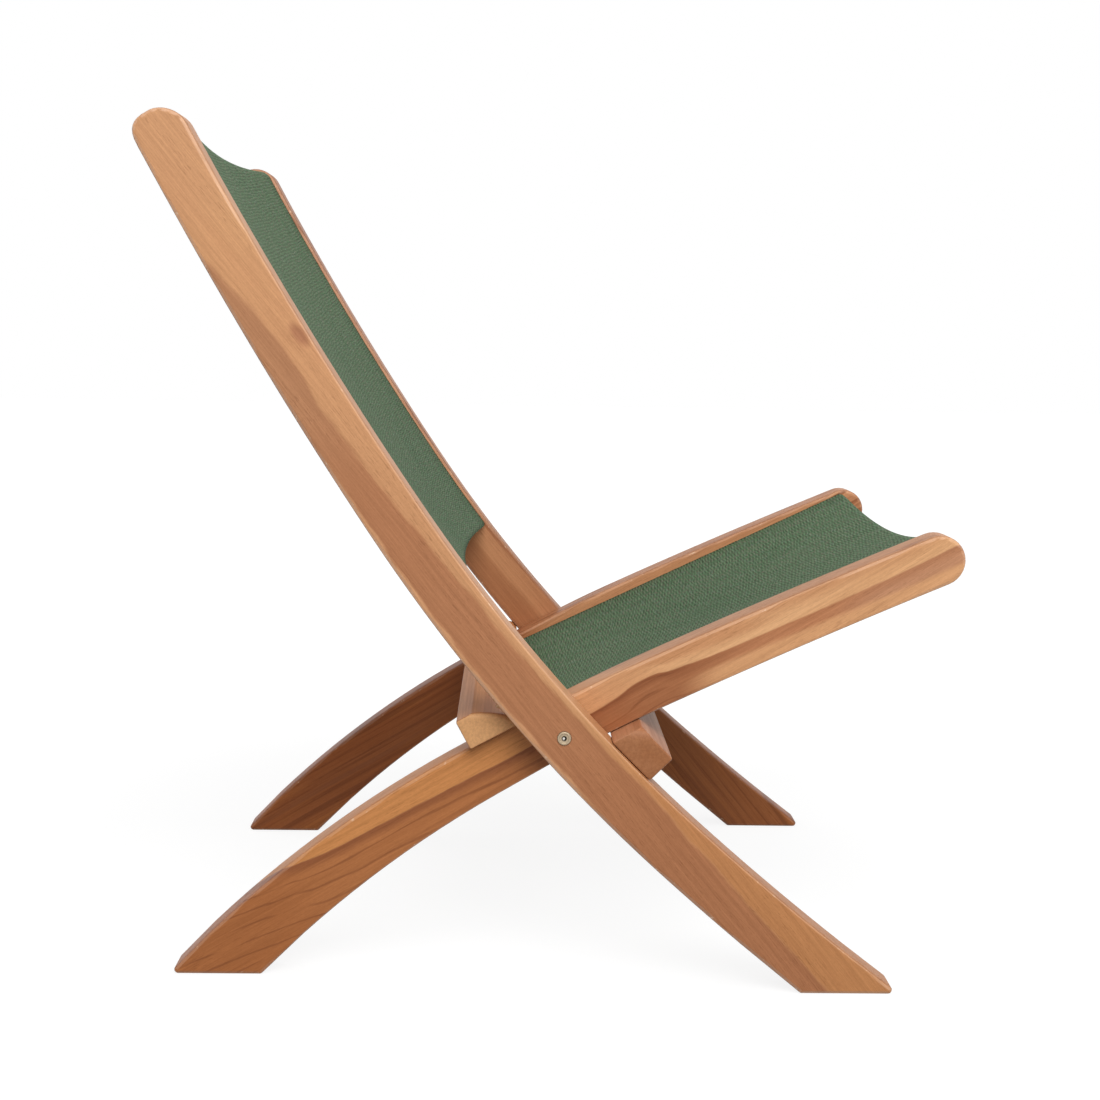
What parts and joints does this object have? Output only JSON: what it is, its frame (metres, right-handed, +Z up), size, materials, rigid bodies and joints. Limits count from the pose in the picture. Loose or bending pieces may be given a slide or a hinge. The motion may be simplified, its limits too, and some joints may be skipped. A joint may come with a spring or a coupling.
{
  "type": "folding lounge chair",
  "caption": "Low folding lounge chair: two crossed frames of curved hardwood rails on a pivot, each carrying a woven sling, held open by stop bars.",
  "frame": {"origin": "on the floor under the middle of the open chair", "axes": "+Z up, +X towards the sitter's left hand, -Y the way the sitter faces"},
  "size_m": [0.5418, 0.712, 0.7501],
  "materials": {
    "hardwood": "oiled, satin",
    "dowel_wood": "bare",
    "sling_weave": "matt coated weave",
    "steel": "satin plated",
    "nylon": "matt"
  },
  "bodies": {
    "back_frame": {"back_rail_left": "hardwood", "back_rail_right": "hardwood", "back_sling": "sling_weave", "back_spline_left": "nylon", "back_spline_right": "nylon", "back_stretcher": "hardwood", "front_stop_bar": "hardwood", "front_stop_bar_dowel_left_1": "dowel_wood", "front_stop_bar_dowel_left_2": "dowel_wood", "front_stop_bar_dowel_right_1": "dowel_wood", "front_stop_bar_dowel_right_2": "dowel_wood", "pivot_bolt_left": "steel", "pivot_bolt_right": "steel", "pivot_sleeve_nut_left": "steel", "pivot_sleeve_nut_right": "steel", "pivot_washer_left": "nylon", "pivot_washer_right": "nylon"},
    "seat_frame": {"seat_rail_left": "hardwood", "seat_rail_right": "hardwood", "seat_sling": "sling_weave", "seat_spline_left": "nylon", "seat_spline_right": "nylon", "seat_stretcher": "hardwood", "rear_stop_bar": "hardwood", "rear_stop_bar_dowel_left_1": "dowel_wood", "rear_stop_bar_dowel_left_2": "dowel_wood", "rear_stop_bar_dowel_right_1": "dowel_wood", "rear_stop_bar_dowel_right_2": "dowel_wood"}
  },
  "joints": [
    {"name": "fold", "type": "hinge", "parent": "back_frame", "child": "seat_frame", "pos_m": [0, -0.00613, 0.2277], "axis": [-1, 0, 0], "range_deg": [0, 84]}
  ]
}
